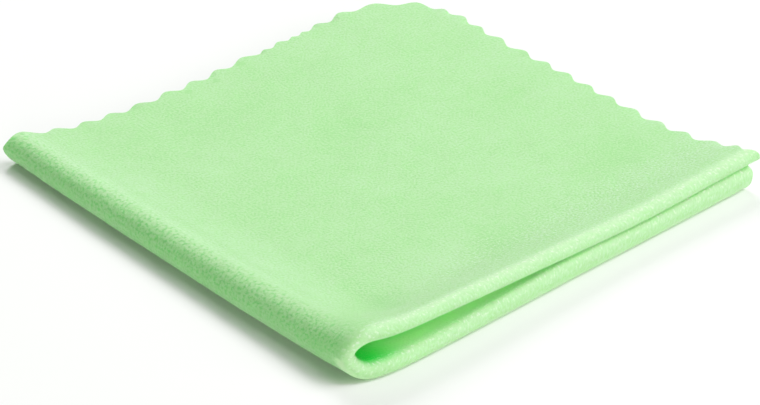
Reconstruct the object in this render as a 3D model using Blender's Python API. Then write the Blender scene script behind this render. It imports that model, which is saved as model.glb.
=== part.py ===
"""A microfibre cloth with a pinked edge, folded in quarters and lying on a flat surface.

The cloth is one cut panel. It is modelled the way it is made and folded: the flat panel with its
waved edge is meshed first, then every point of it goes through the two folds, half the sheet's
thickness to each side of its middle surface.

Flat panel:   p runs across it and q along it, both measured from the middle of the panel.
Folded cloth: x runs from the second fold to the waved edge, y from the first fold (the two round
              lips) to the other waved edge, z upwards. The layers, from the top one down, are
              (p > 0, q > 0), (p > 0, q < 0), (p < 0, q < 0) and (p < 0, q > 0).
"""

import math

import bpy
import numpy as np
from mathutils import Vector
from mathutils.geometry import delaunay_2d_cdt

MM = 0.001

# The sheet and the cut panel
THICKNESS = 1.07 * MM
LAYER_GAP = 0.3 * MM
HALF_WIDTH = 98.95 * MM
HALF_LENGTH = 95.45 * MM
CORNER_RADIUS = 19.0 * MM

# The waved edge: places of its notches in mm, along one quarter of it, from the end of the second
# fold round the corner to the end of the first, the last one past its end; the usual length of a
# tooth, and its height then, shorter ones being lower
NOTCHES = [0.6, 7.0, 13.2, 18.8, 24.7, 31.6, 38.0, 44.4, 50.6, 58.2, 61.5, 65.8, 68.5, 71.3, 76.9,
           83.6, 92.8, 101.0, 105.3, 110.8, 116.2, 122.6, 129.2, 135.2, 141.3, 147.1, 153.3, 159.9,
           166.6, 172.9, 180.0, 184.05, 187.85]
TOOTH_PITCH = 6.35 * MM
TOOTH_HEIGHT = 1.44 * MM

# First fold: a round lip that narrows into two layers lying together
LIP_RADIUS = 1.04 * MM
LIP_REACH = 6.0 * MM

# Second fold: how far its inner layer slips past the outer one, as a share of a free slip, and how
# far the halves are held apart there, at the lips and at the far edge
SLIP_SHARE = 0.3
SPREAD_AT_LIP = 4.45 * MM
SPREAD_AT_EDGE = 0.77 * MM
SPREAD_REACH = 53.5 * MM
CLOSE_AT_LIP = 107.0 * MM
CLOSE_INSIDE = 12.0 * MM
CLOSE_REACH = 11.0 * MM

# How the folded cloth is pulled out of square: (shift, reach) of each pull; at the end of the second
# fold and of the upper lip it has a reach around the fold and one along it
LIP_DRAWN_BACK = (3.55 * MM, 5.7 * MM)
EDGE_PUSHED_OUT = (4.5 * MM, 18.0 * MM)
LIP_END_PUSHED_OUT = (2.7 * MM, 14.9 * MM)
LOWER_LIP_END_SHARE = 0.75
FOLD_END_PUSHED_OUT = (3.3 * MM, 2.7 * MM, 7.0 * MM)
UPPER_LIP_END_PUSHED_OUT = (1.0 * MM, 1.5 * MM, 10.0 * MM)
PULL_FADE = 61.0 * MM
FOLD_BOW = 0.42 * MM

# Each waved edge is drawn in a little: (shift, reach along the edge, distance from the fold that the
# edge starts at), first the edge that runs from the second fold and then the one from the lips
EDGE_DRAWN_IN = (0.5 * MM, 15.0 * MM, 36.0 * MM)
END_DRAWN_IN = (0.85 * MM, 11.0 * MM, 69.0 * MM)

# The end of the upper lip stands a little higher: it starts to rise that far from the second fold,
# rises over the run, and carries the cloth behind the lip with it over the reach
LIP_END_LIFT = 1.6 * MM
LIP_END_START = 55.0 * MM
LIP_END_RUN = 40.0 * MM
LIP_END_REACH = 14.0 * MM

# So does the upper half's open corner, from that far from the second fold and from the first
OPEN_CORNER_LIFT = 0.5 * MM
OPEN_CORNER_START_ACROSS = 35.0 * MM
OPEN_CORNER_START_ALONG = 45.0 * MM
OPEN_CORNER_RUN = 45.0 * MM

# Away from the round corner the lower lip is fuller and takes up the room between the two lips, more
# and more over the run from that far from the second fold, and over the reach behind the lips
LIPS_MEET_START = 8.0 * MM
LIPS_MEET_RUN = 52.0 * MM
LIPS_MEET_POWER = 1.6
LIPS_MEET_REACH = 20.0 * MM

# Grid lines of the mesh, in mm from each fold; they lie closest where the cloth bends most
LINES_ACROSS = [0.7, 1.4, 2.1, 2.9, 3.8, 4.8, 6.0, 7.4, 9.2, 12.0, 16.0, 22.0, 29.0, 37.0, 47.0,
                58.0, 70.0, 82.0, 91.0, 96.9]
LINES_ALONG = [0.4, 0.8, 1.2, 1.65, 2.3, 3.4, 5.0, 6.8, 8.8, 11.0, 13.5, 17.0, 23.0, 35.0, 50.0,
               66.0, 82.0, 90.0, 94.0]
STEPS_PER_SLOPE = 3
FOLD_LINES_AT_BORDER = 8
BORDER_SPACING = 0.5 * MM
BORDER_MARGIN = 1.9 * MM
FACES_INSIDE_BORDER = 1
MERGE_DISTANCE = 1.0e-5
STEP = 0.001 * MM

CLOTH_COLOUR = (0.478, 0.823, 0.418, 1.0)
CLOTH_ROUGHNESS = 0.95


def smooth(t):
    """Ease from 0 to 1 while t goes from 0 to 1."""
    t = np.clip(t, 0.0, 1.0)
    return t * t * (3.0 - 2.0 * t)


def fade(distance, reach, power=1.5):
    """Fall from 1 towards 0 over the given reach."""
    return np.exp(-(distance / reach) ** power)


def closing(t):
    """Share of the spread that is gone after the share t of the way: quick at first, then level."""
    t = np.clip(t, 0.0, 1.0)
    return 1.0 - (1.0 - t) ** 2 * (1.0 + t)


def lip_section(q):
    """Section through the first fold.

    Returns the distance from the lip's nose, the signed height over the middle of the doubled
    sheet, and half the distance between its two layers.
    """
    length = np.abs(q)
    quarter = math.pi / 2.0 * LIP_RADIUS
    angle = np.minimum(length, quarter) / LIP_RADIUS
    past_lip = np.maximum(length - quarter, 0.0)
    inward = LIP_RADIUS * (1.0 - np.cos(angle)) + past_lip
    flat_half = (THICKNESS + LAYER_GAP) / 2.0
    half = flat_half + (LIP_RADIUS - flat_half) * np.exp(-(past_lip / LIP_REACH) ** 2)
    height = np.where(past_lip > 0.0, half, LIP_RADIUS * np.sin(angle)) * np.sign(q)
    return inward, height, half


def pull_aside(p, q):
    """Shift in x and in y by which the cloth is pulled out of square near its folds."""
    from_fold, from_lip = np.abs(p), np.abs(q)
    from_end = np.maximum(HALF_WIDTH - from_fold, 0.0)
    from_edge = np.maximum(HALF_LENGTH - from_lip, 0.0)
    back, back_reach = LIP_DRAWN_BACK
    out, out_reach = EDGE_PUSHED_OUT
    dy = back * fade(from_fold, back_reach) * fade(from_lip, PULL_FADE)
    dy += out * fade(from_fold, out_reach) * smooth(from_lip / HALF_LENGTH)
    shift, reach, place = EDGE_DRAWN_IN
    dy -= shift * fade(np.abs(from_fold - place), reach, power=2.0) * fade(from_edge, PULL_FADE)
    shift, around, along = FOLD_END_PUSHED_OUT
    dy += np.where(q > 0.0, shift, 0.0) * fade(from_fold, around) * fade(from_edge, along)

    shift, reach = LIP_END_PUSHED_OUT
    shift = np.where(p >= 0.0, shift, shift * LOWER_LIP_END_SHARE)
    dx = shift * smooth(from_fold / HALF_WIDTH) * fade(from_lip, reach)
    shift, around, along = UPPER_LIP_END_PUSHED_OUT
    dx += np.where(p > 0.0, shift, 0.0) * fade(from_lip, around, power=4.0) * fade(from_end, along)
    shift, reach, place = END_DRAWN_IN
    dx -= shift * fade(np.abs(from_lip - place), reach, power=2.0) * smooth(from_fold / HALF_WIDTH)
    share = np.clip(from_lip / HALF_LENGTH, 0.0, 1.0)
    dx -= FOLD_BOW * 4.0 * share * (1.0 - share)
    return dx, dy


def fold(p, q):
    """Place points of the flat panel on the middle surface of the folded cloth."""
    inward, height, half = lip_section(q)
    y = inward + THICKNESS / 2.0
    spread = SPREAD_AT_EDGE + (SPREAD_AT_LIP - SPREAD_AT_EDGE) * np.exp(-y / SPREAD_REACH)
    closed = 2.0 * half + THICKNESS + LAYER_GAP
    bend = (closed + spread) / 2.0
    radius = bend + height
    quarter = math.pi / 2.0 * (bend + SLIP_SHARE * height)
    angle = math.pi / 2.0 * np.minimum(np.abs(p) / quarter, 1.0)
    past_fold = np.maximum(np.abs(p) - quarter, 0.0)

    at_lip = fade(y, CLOSE_REACH)
    drop = spread * (at_lip * closing(past_fold / CLOSE_AT_LIP)
                     + (1.0 - at_lip) * closing(past_fold / CLOSE_INSIDE))
    lift = LIP_END_LIFT * smooth((past_fold - LIP_END_START) / LIP_END_RUN)
    lift *= np.exp(-(y / LIP_END_REACH) ** 2)
    lift += (OPEN_CORNER_LIFT * smooth((past_fold - OPEN_CORNER_START_ACROSS) / OPEN_CORNER_RUN)
             * smooth((y - OPEN_CORNER_START_ALONG) / OPEN_CORNER_RUN))

    met = smooth(np.clip((np.abs(p) - LIPS_MEET_START) / LIPS_MEET_RUN, 0.0, 1.0) ** LIPS_MEET_POWER)
    met *= fade(y, LIPS_MEET_REACH, power=2.0)
    raised = met * (spread - drop + lift) * (1.0 - height / half) / 2.0

    middle = half + THICKNESS / 2.0 + bend
    upper = middle + radius * np.sin(angle) - drop + lift
    lower = middle - radius * np.sin(angle) + raised
    x = bend + half + THICKNESS / 2.0 - radius * np.cos(angle) + past_fold
    dx, dy = pull_aside(p, q)
    return np.stack([x + dx, y + dy, np.where(p >= 0.0, upper, lower)], axis=-1)


def normal(p, q):
    """Unit normals of the folded middle surface, out of the cloth's outer face."""
    along_p = fold(p + STEP, q) - fold(p - STEP, q)
    along_q = fold(p, q + STEP) - fold(p, q - STEP)
    across = np.cross(along_p, along_q)
    return across / np.linalg.norm(across, axis=-1, keepdims=True)


def turning_points():
    """Places of the notches and of the tips halfway between them along a quarter, and their heights."""
    notches = np.array(NOTCHES) * MM
    lengths = np.diff(notches)
    places = np.insert(notches, np.arange(1, len(notches)), notches[:-1] + lengths / 2.0)
    heights = np.full(len(places), -TOOTH_HEIGHT / 2.0)
    heights[1::2] += TOOTH_HEIGHT * np.minimum(lengths / TOOTH_PITCH, 1.0)
    return places, heights


def wave(place):
    """Height of the waved edge at a place along the quarter."""
    places, heights = turning_points()
    after = np.clip(np.searchsorted(places, place), 1, len(places) - 1)
    share = smooth((place - places[after - 1]) / (places[after] - places[after - 1]))
    return heights[after - 1] + (heights[after] - heights[after - 1]) * share


def quarter_places(end):
    """Places along a quarter of the edge: even between its notches and tips, closer at the folds."""
    at_start = np.array([0.0] + LINES_ACROSS[:FOLD_LINES_AT_BORDER]) * MM
    at_end = end - np.array([0.0] + LINES_ALONG[:FOLD_LINES_AT_BORDER])[::-1] * MM
    places, _ = turning_points()
    steps = np.arange((len(places) - 1) * STEPS_PER_SLOPE + 1) / STEPS_PER_SLOPE
    even = np.interp(steps, np.arange(len(places)), places)
    between = (even > at_start[-1] + BORDER_SPACING) & (even < at_end[0] - BORDER_SPACING)
    return np.concatenate([at_start, even[between], at_end])


def quarter_border():
    """Waved border of the quarter where p and q are positive, from the second fold to the first."""
    straight_p = HALF_WIDTH - CORNER_RADIUS
    straight_q = HALF_LENGTH - CORNER_RADIUS
    end = straight_p + math.pi / 2.0 * CORNER_RADIUS + straight_q
    place = quarter_places(end)
    angle = np.clip((place - straight_p) / CORNER_RADIUS, 0.0, math.pi / 2.0)
    radius = CORNER_RADIUS + wave(place)
    return np.stack([np.minimum(place, straight_p) + radius * np.sin(angle),
                     np.minimum(end - place, straight_q) + radius * np.cos(angle)], axis=-1)


def border():
    """Outline of the flat panel: four quarters that mirror each other at the folds."""
    quarter = quarter_border()
    back = quarter[-2::-1]
    return np.concatenate([quarter, back * (1.0, -1.0), quarter[1:] * (-1.0, -1.0),
                           back[:-1] * (-1.0, 1.0)])


def grid_points():
    """Points inside the border, where the grid lines cross."""
    across = np.array([0.0] + LINES_ACROSS) * MM
    along = np.array([0.0] + LINES_ALONG) * MM
    across = np.concatenate([-across[:0:-1], across])
    along = np.concatenate([-along[:0:-1], along])
    p, q = (values.ravel() for values in np.meshgrid(across, along))
    inner = CORNER_RADIUS - BORDER_MARGIN
    past_p = np.maximum(np.abs(p) - (HALF_WIDTH - CORNER_RADIUS), 0.0)
    past_q = np.maximum(np.abs(q) - (HALF_LENGTH - CORNER_RADIUS), 0.0)
    inside = np.hypot(past_p, past_q) < inner
    return np.stack([p[inside], q[inside]], axis=-1)


def flat_panel():
    """Mesh of the flat panel: its points and its triangles."""
    outline = border()[::-1]
    points = np.concatenate([outline, grid_points()])
    loop = list(range(len(outline)))
    found = delaunay_2d_cdt([Vector(point) for point in points / MM], [], [loop],
                            FACES_INSIDE_BORDER, MERGE_DISTANCE)
    return np.array([tuple(point) for point in found[0]]) * MM, [list(face) for face in found[2]]


def cloth_material():
    """Soft pale green cloth."""
    material = bpy.data.materials.new("cloth")
    material.use_nodes = True
    shader = material.node_tree.nodes["Principled BSDF"]
    shader.inputs["Base Color"].default_value = CLOTH_COLOUR
    shader.inputs["Roughness"].default_value = CLOTH_ROUGHNESS
    shader.inputs["Metallic"].default_value = 0.0
    return material


def sheet_faces(faces, count):
    """Faces of the closed sheet: the outer skin, the inner skin count points on, and the rim."""
    edges = {(face[i - 1], face[i]) for face in faces for i in range(3)}
    rim = [(a, a + count, b + count, b) for a, b in sorted(edges) if (b, a) not in edges]
    inner = [tuple(point + count for point in reversed(face)) for face in faces]
    return [tuple(face) for face in faces] + inner + rim


def make_cloth():
    """The folded cloth, one solid standing on z = 0 with the middle of its box over the origin."""
    flat, faces = flat_panel()
    p, q = flat.T
    middle, half_sheet = fold(p, q), THICKNESS / 2.0 * normal(p, q)
    points = np.concatenate([middle + half_sheet, middle - half_sheet])
    points[:, :2] -= (points.min(axis=0)[:2] + points.max(axis=0)[:2]) / 2.0

    mesh = bpy.data.meshes.new("cloth")
    mesh.from_pydata(points.tolist(), [], sheet_faces(faces, len(flat)))
    mesh.materials.append(cloth_material())
    mesh.shade_smooth()
    cloth = bpy.data.objects.new("cloth", mesh)
    bpy.context.scene.collection.objects.link(cloth)
    return cloth


def main():
    """Clear the scene and build the cloth."""
    for item in list(bpy.data.objects):
        bpy.data.objects.remove(item, do_unlink=True)
    make_cloth()


main()
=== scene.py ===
"""Looks of a brushed microfibre cloth with a pinked edge, folded in quarters and lying flat.

The cloth is made the way it is folded. The flat panel is meshed first, every point of it then goes
through the two folds, and short fibres are planted on the faces that show.

Flat panel:   p runs across it and q along it, both measured from the middle of the panel.
Folded cloth: x runs from the second fold to the pinked edge, y from the first fold (the two round
              lips) to the other pinked edge, z upwards.
Places are in metres, and lengths inside the materials' patterns are in millimetres.
"""

import logging
import math
import sys
from dataclasses import dataclass, field
from enum import Enum

import bpy
import numpy as np
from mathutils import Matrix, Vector
from mathutils.geometry import delaunay_2d_cdt

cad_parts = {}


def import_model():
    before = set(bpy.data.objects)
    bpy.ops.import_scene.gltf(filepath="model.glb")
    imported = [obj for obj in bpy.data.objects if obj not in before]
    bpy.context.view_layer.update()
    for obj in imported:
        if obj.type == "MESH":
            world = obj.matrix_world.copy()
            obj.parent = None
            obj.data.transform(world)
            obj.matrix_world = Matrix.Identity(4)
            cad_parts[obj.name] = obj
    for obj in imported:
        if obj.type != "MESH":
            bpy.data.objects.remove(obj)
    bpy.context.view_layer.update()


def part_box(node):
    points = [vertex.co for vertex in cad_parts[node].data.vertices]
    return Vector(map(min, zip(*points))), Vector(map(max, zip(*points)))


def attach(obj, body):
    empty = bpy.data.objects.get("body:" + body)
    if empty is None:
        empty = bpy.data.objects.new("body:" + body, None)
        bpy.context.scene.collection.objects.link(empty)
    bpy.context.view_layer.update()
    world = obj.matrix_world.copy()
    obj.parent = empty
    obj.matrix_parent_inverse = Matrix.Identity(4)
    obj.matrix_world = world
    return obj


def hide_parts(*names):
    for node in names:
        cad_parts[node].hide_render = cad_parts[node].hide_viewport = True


MM = 0.001
QUARTER_TURN = math.pi / 2.0
CLOTH_NODE = "cloth"
BODY = "root"
FLAT_MAP = "flat"
TINT = "tint"
MAP_SPAN = 0.42  # width of the flat map: both faces of the panel side by side, with room around them
MAP_MIDDLE = 0.25  # where the middle of the outer face lies in the map, as a share of its width
ALL_COLOURS = 3  # the tone curve that holds for red, green and blue together
HALF_WIDTH = 98.95 * MM
HALF_LENGTH = 95.45 * MM
SHEET_THICKNESS = 1.07 * MM

Array = np.ndarray
Colour = tuple[float, float, float]

log = logging.getLogger("microfibre_cloth")


def smooth(t: Array) -> Array:
    """Ease from 0 to 1 while t goes from 0 to 1."""
    t = np.clip(t, 0.0, 1.0)
    return t * t * (3.0 - 2.0 * t)


def fade(distance: Array, reach: float, power: float = 1.5) -> Array:
    """Fall from 1 towards 0 over the given reach."""
    return np.exp(-(distance / reach) ** power)


def arch(t: Array) -> Array:
    """Rise from 0 to 1 and fall back to 0 while t goes from 0 to 1."""
    return 4.0 * t * (1.0 - t)


def closing(t: Array) -> Array:
    """Share of a spread that is gone after the share t of the way: quick at first, then level."""
    t = np.clip(t, 0.0, 1.0)
    return 1.0 - (1.0 - t) ** 2 * (1.0 + t)


def soft_noise(
    p: Array, q: Array, size: float, seed: int, waves: int = 28,
    wavelengths: tuple[float, float] = (1.2, 2.6),
) -> Array:
    """A smooth uneven field, the same on every run.

    Args:
        p: Places across the panel.
        q: Places along the panel.
        size: Typical distance between two swellings.
        seed: Seed of the field.
        waves: Number of plane waves that are summed.
        wavelengths: Shortest and longest of them, as shares of the size.

    Returns:
        The field at each place, mostly between -1.5 and 1.5.
    """
    rng = np.random.default_rng(seed)
    turn = rng.uniform(0.0, 2.0 * math.pi, waves)
    rate = 2.0 * math.pi / (size * rng.uniform(*wavelengths, waves))
    start = rng.uniform(0.0, 2.0 * math.pi, waves)
    field_sum = np.zeros_like(p)
    for angle, k, phase in zip(turn, rate, start):
        field_sum = field_sum + np.cos(k * (p * math.cos(angle) + q * math.sin(angle)) + phase)
    return field_sum * math.sqrt(2.0 / waves)


@dataclass(frozen=True)
class Ramp:
    """An ease from 0 to 1: where it starts and how long it is."""

    start: float
    run: float

    def at(self, place: Array) -> Array:
        """How far the ramp has risen at each place."""
        return smooth((place - self.start) / self.run)


@dataclass(frozen=True)
class Band:
    """A soft band along a fold or an edge.

    Attributes:
        middle: Where its middle lies.
        reach: How far it reaches to both sides.
        strength: What it comes to at its middle.
        power: How square it is.
    """

    middle: float
    reach: float
    strength: float = 1.0
    power: float = 2.0

    def at(self, place: Array) -> Array:
        """What the band comes to at each place."""
        return self.strength * fade(np.abs(place - self.middle), self.reach, self.power)


@dataclass(frozen=True)
class PinkedEdge:
    """The teeth that pinking blades leave along one quarter of the panel's edge.

    A quarter runs from the end of the long fold round the corner to the end of the lips.

    Attributes:
        notches: Places of the notches along the quarter, in mm; the last one is past its end.
        pitch: Usual length of a tooth.
        height: Height of a tooth of the usual length; shorter ones are lower.
    """

    notches: tuple[float, ...] = (
        0.6, 7.0, 13.2, 18.8, 24.7, 31.6, 38.0, 44.4, 50.6, 58.2, 61.5, 65.8, 68.5, 71.3, 76.9,
        83.6, 92.8, 101.0, 105.3, 110.8, 116.2, 122.6, 129.2, 135.2, 141.3, 147.1, 153.3, 159.9,
        166.6, 172.9, 180.0, 184.05, 187.85,
    )
    pitch: float = 6.35 * MM
    height: float = 1.44 * MM

    def turning_points(self) -> tuple[Array, Array]:
        """Turning points of the edge: its notches and the tips halfway between them.

        Returns:
            Their places along the quarter, and their heights over the edge line.
        """
        notches = np.array(self.notches) * MM
        lengths = np.diff(notches)
        places = np.insert(notches, np.arange(1, len(notches)), notches[:-1] + lengths / 2.0)
        heights = np.full(len(places), -self.height / 2.0)
        heights[1::2] += self.height * np.minimum(lengths / self.pitch, 1.0)
        return places, heights

    def at(self, place: Array) -> Array:
        """Height of the edge over the edge line.

        Args:
            place: Places along the quarter.

        Returns:
            The height at each place.
        """
        places, heights = self.turning_points()
        after = np.clip(np.searchsorted(places, place), 1, len(places) - 1)
        share = smooth((place - places[after - 1]) / (places[after] - places[after - 1]))
        return heights[after - 1] + (heights[after] - heights[after - 1]) * share


@dataclass(frozen=True)
class LineSpacing:
    """Distances between the mesh's lines, closest at a fold.

    Attributes:
        finest: Spacing at the fold.
        widest: Spacing far from it.
        start: How far from the fold the finest spacing holds.
        reach: Over which distance it widens.
    """

    finest: float
    widest: float
    start: float
    reach: float

    def lines(self, limit: float, widest: float | None = None) -> Array:
        """Places of the lines on both sides of a fold.

        Args:
            limit: Place of the last line.
            widest: A widest spacing other than the usual one.

        Returns:
            The places, from -limit to limit.
        """
        widest = self.widest if widest is None else widest
        places = [0.0]
        while places[-1] < limit:
            share = smooth((places[-1] - self.start) / self.reach)
            places.append(places[-1] + self.finest + (widest - self.finest) * share)
        kept = np.array([place for place in places[:-1] if place < limit - self.finest] + [limit])
        return np.concatenate([-kept[:0:-1], kept])


@dataclass(frozen=True)
class Panel:
    """The cut panel while it still lies flat.

    Attributes:
        half_width: From its middle to the edge line across from the long fold.
        half_length: From its middle to the edge line across from the lips.
        corner_radius: Radius of its round corners.
        thickness: Its thickness.
        edge: The teeth of its edge.
        lines_across: Distances between the mesh's lines, from the long fold outwards.
        lines_along: The same from the lips outwards.
        border_step: Longest step of the mesh along the edge.
        border_margin: Least distance between the mesh's inner points and the edge line.
        merge_distance: Points closer than this, in mm, become one.
    """

    half_width: float = HALF_WIDTH
    half_length: float = HALF_LENGTH
    corner_radius: float = 19.0 * MM
    thickness: float = SHEET_THICKNESS
    edge: PinkedEdge = PinkedEdge()
    lines_across: LineSpacing = LineSpacing(0.42 * MM, 1.3 * MM, 7.0 * MM, 14.0 * MM)
    lines_along: LineSpacing = LineSpacing(0.2 * MM, 1.3 * MM, 2.4 * MM, 16.0 * MM)
    border_step: float = 0.45 * MM
    border_margin: float = 1.5 * MM
    merge_distance: float = 1.0e-5

    def quarter(self) -> Array:
        """Waved border of the quarter where p and q are positive.

        Returns:
            Its points (p, q), from the long fold to the lips.
        """
        straight_p = self.half_width - self.corner_radius
        straight_q = self.half_length - self.corner_radius
        arc = QUARTER_TURN * self.corner_radius
        across = self.lines_across.lines(straight_p, widest=self.border_step)
        along = self.lines_along.lines(straight_q, widest=self.border_step)
        steps = round(arc / self.border_step)
        place = np.concatenate([
            across[across >= 0.0],
            straight_p + arc * np.arange(1, steps) / steps,
            straight_p + arc + straight_q - along[along >= 0.0][::-1],
        ])
        angle = np.clip((place - straight_p) / self.corner_radius, 0.0, QUARTER_TURN)
        radius = self.corner_radius + self.edge.at(place)
        return np.stack([
            np.minimum(place, straight_p) + radius * np.sin(angle),
            np.minimum(straight_p + arc + straight_q - place, straight_q) + radius * np.cos(angle),
        ], axis=-1)

    def border(self) -> Array:
        """Outline of the flat panel: four quarters that mirror each other at the folds.

        Returns:
            Its points (p, q), all the way round.
        """
        quarter = self.quarter()
        back = quarter[-2::-1]
        return np.concatenate([
            quarter,
            back * (1.0, -1.0),
            quarter[1:] * (-1.0, -1.0),
            back[:-1] * (-1.0, 1.0),
        ])[::-1]

    def inner_points(self) -> Array:
        """Points inside the border.

        Returns:
            The points (p, q) where the mesh's lines cross.
        """
        across = self.lines_across.lines(self.half_width)
        along = self.lines_along.lines(self.half_length)
        p, q = (values.ravel() for values in np.meshgrid(across, along))
        past_p = np.maximum(np.abs(p) - (self.half_width - self.corner_radius), 0.0)
        past_q = np.maximum(np.abs(q) - (self.half_length - self.corner_radius), 0.0)
        inside = np.hypot(past_p, past_q) < self.corner_radius - self.border_margin
        return np.stack([p[inside], q[inside]], axis=-1)

    def mesh(self) -> tuple[Array, Array]:
        """Mesh of the flat panel.

        Returns:
            Its points (p, q), and its triangles as rows of three point numbers.
        """
        outline = self.border()
        points = np.concatenate([outline, self.inner_points()]) / MM
        loop = list(range(len(outline)))
        inside_only = 1
        found = delaunay_2d_cdt([Vector(point) for point in points], [], [loop], inside_only,
                                self.merge_distance)
        return np.array([tuple(point) for point in found[0]]) * MM, np.array(found[2])


@dataclass(frozen=True)
class Pull:
    """A pull out of square: how far it shifts the cloth, and how far it reaches."""

    shift: float
    reach: float


@dataclass(frozen=True)
class Folds:
    """How the panel is folded twice: over the lips first, then over the long round fold.

    Attributes:
        thickness: Thickness of the sheet.
        layer_gap: Least room between two layers.
        half_width: Half the panel's width, across the long fold.
        half_length: Half the panel's length, across the lips.
        lip_radius: Radius of the middle surface round a lip.
        lip_reach: How far from the lip its two layers are apart.
        slip_share: How much the outer layers slip past the inner ones at the long fold.
        spread_at_lip: Room between the upper and the lower half in the long fold, at the lips.
        spread_at_edge: The same at the pinked edge.
        spread_reach: How fast it falls from the lips towards the edge.
        close_at_lip: How far from the long fold the two lips close.
        close_inside: The same for the layers behind the lips.
        close_reach: How far behind the lips the way of closing changes.
        lip_drawn_back: How the lips are drawn back round the long fold.
        edge_pushed_out: How the pinked edge is pushed out at the end of the long fold.
        edge_dent: Shallow hollow in the line of that edge.
        end_dent: Shallow hollow in the line of the other edge.
        lip_end_pushed_out: How the far ends of the lips are pushed out.
        lower_lip_end_share: How much of that the lower lip has.
        lip_nose_around: Small ear at the far end of the upper lip, across it.
        lip_nose_along: How far the ear reaches along the lip.
        fold_end_around: Small ear at the far end of the long fold, across it.
        fold_end_along: How far the ear reaches along the fold.
        pull_fade: How far the pulls across an edge reach behind it.
        fold_bow: How far the long fold bows out in its middle.
        lip_end_lift: How far the far end of the upper lip stands up.
        lip_end: Where it rises, from the long fold.
        lip_end_reach: How far the rise reaches behind the lip.
        open_corner_lift: How far the upper half's open corner stands up.
        open_corner_across: Where it rises, from the long fold.
        open_corner_along: Where it rises, from the lips.
        lips_meet_start: Where the lower lip starts to be fuller, from the long fold.
        lips_meet_run: Over which distance it grows fuller.
        lips_meet_power: How late it does.
        lips_meet_reach: How far its fullness reaches behind it.
        step: Step between two places for the slopes.
    """

    thickness: float = SHEET_THICKNESS
    layer_gap: float = 0.3 * MM
    half_width: float = HALF_WIDTH
    half_length: float = HALF_LENGTH
    lip_radius: float = 1.04 * MM
    lip_reach: float = 6.0 * MM
    slip_share: float = 0.3
    spread_at_lip: float = 4.45 * MM
    spread_at_edge: float = 0.77 * MM
    spread_reach: float = 53.5 * MM
    close_at_lip: float = 107.0 * MM
    close_inside: float = 12.0 * MM
    close_reach: float = 11.0 * MM
    lip_drawn_back: Pull = Pull(3.55 * MM, 5.7 * MM)
    edge_pushed_out: Pull = Pull(4.5 * MM, 18.0 * MM)
    edge_dent: Band = Band(36.0 * MM, 15.0 * MM, 0.5 * MM)
    end_dent: Band = Band(69.0 * MM, 11.0 * MM, 0.85 * MM)
    lip_end_pushed_out: Pull = Pull(2.7 * MM, 14.9 * MM)
    lower_lip_end_share: float = 0.75
    lip_nose_around: Pull = Pull(1.0 * MM, 1.5 * MM)
    lip_nose_along: float = 10.0 * MM
    fold_end_around: Pull = Pull(3.3 * MM, 2.7 * MM)
    fold_end_along: float = 7.0 * MM
    pull_fade: float = 61.0 * MM
    fold_bow: float = 0.42 * MM
    lip_end_lift: float = 1.6 * MM
    lip_end: Ramp = Ramp(55.0 * MM, 40.0 * MM)
    lip_end_reach: float = 14.0 * MM
    open_corner_lift: float = 0.5 * MM
    open_corner_across: Ramp = Ramp(35.0 * MM, 45.0 * MM)
    open_corner_along: Ramp = Ramp(45.0 * MM, 45.0 * MM)
    lips_meet_start: float = 8.0 * MM
    lips_meet_run: float = 52.0 * MM
    lips_meet_power: float = 1.6
    lips_meet_reach: float = 20.0 * MM
    step: float = 0.001 * MM

    def lip_section(self, q: Array) -> tuple[Array, Array, Array]:
        """Section through the first fold.

        Args:
            q: Places along the panel.

        Returns:
            Distance from the lip's nose, signed height over the middle of the doubled sheet, and
            half the distance between its two layers.
        """
        length = np.abs(q)
        quarter = QUARTER_TURN * self.lip_radius
        angle = np.minimum(length, quarter) / self.lip_radius
        past_lip = np.maximum(length - quarter, 0.0)
        inward = self.lip_radius * (1.0 - np.cos(angle)) + past_lip
        flat_half = (self.thickness + self.layer_gap) / 2.0
        half = flat_half + (self.lip_radius - flat_half) * np.exp(-(past_lip / self.lip_reach) ** 2)
        height = np.where(past_lip > 0.0, half, self.lip_radius * np.sin(angle)) * np.sign(q)
        return inward, height, half

    def pulled(self, p: Array, q: Array) -> tuple[Array, Array]:
        """How far the cloth is pulled out of square near its folds.

        Args:
            p: Places across the panel.
            q: Places along the panel.

        Returns:
            The shifts in x and in y.
        """
        from_fold, from_lip = np.abs(p), np.abs(q)
        from_end = np.maximum(self.half_width - from_fold, 0.0)
        from_edge = np.maximum(self.half_length - from_lip, 0.0)
        to_end = smooth(from_fold / self.half_width)
        to_edge = smooth(from_lip / self.half_length)
        back, out, end = self.lip_drawn_back, self.edge_pushed_out, self.lip_end_pushed_out
        fold_ear, lip_ear = self.fold_end_around, self.lip_nose_around

        dy = back.shift * fade(from_fold, back.reach) * fade(from_lip, self.pull_fade)
        dy += out.shift * fade(from_fold, out.reach) * to_edge
        dy -= self.edge_dent.at(from_fold) * fade(from_edge, self.pull_fade)
        dy += (np.where(q > 0.0, fold_ear.shift, 0.0) * fade(from_fold, fold_ear.reach)
               * fade(from_edge, self.fold_end_along))

        end_shift = np.where(p >= 0.0, end.shift, end.shift * self.lower_lip_end_share)
        dx = end_shift * to_end * fade(from_lip, end.reach)
        dx += (np.where(p > 0.0, lip_ear.shift, 0.0) * fade(from_lip, lip_ear.reach, power=4.0)
               * fade(from_end, self.lip_nose_along))
        dx -= self.fold_bow * arch(np.clip(from_lip / self.half_length, 0.0, 1.0))
        dx -= self.end_dent.at(from_lip) * to_end
        return dx, dy

    def lifted(self, past_fold: Array, y: Array) -> Array:
        """How far the upper half stands up.

        Args:
            past_fold: Distances from the end of the long fold's round.
            y: Distances from the lips.

        Returns:
            The lift at the end of the upper lip and at the open corner.
        """
        at_lip_end = self.lip_end.at(past_fold) * fade(y, self.lip_end_reach, power=2.0)
        at_corner = self.open_corner_across.at(past_fold) * self.open_corner_along.at(y)
        return self.lip_end_lift * at_lip_end + self.open_corner_lift * at_corner

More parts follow.
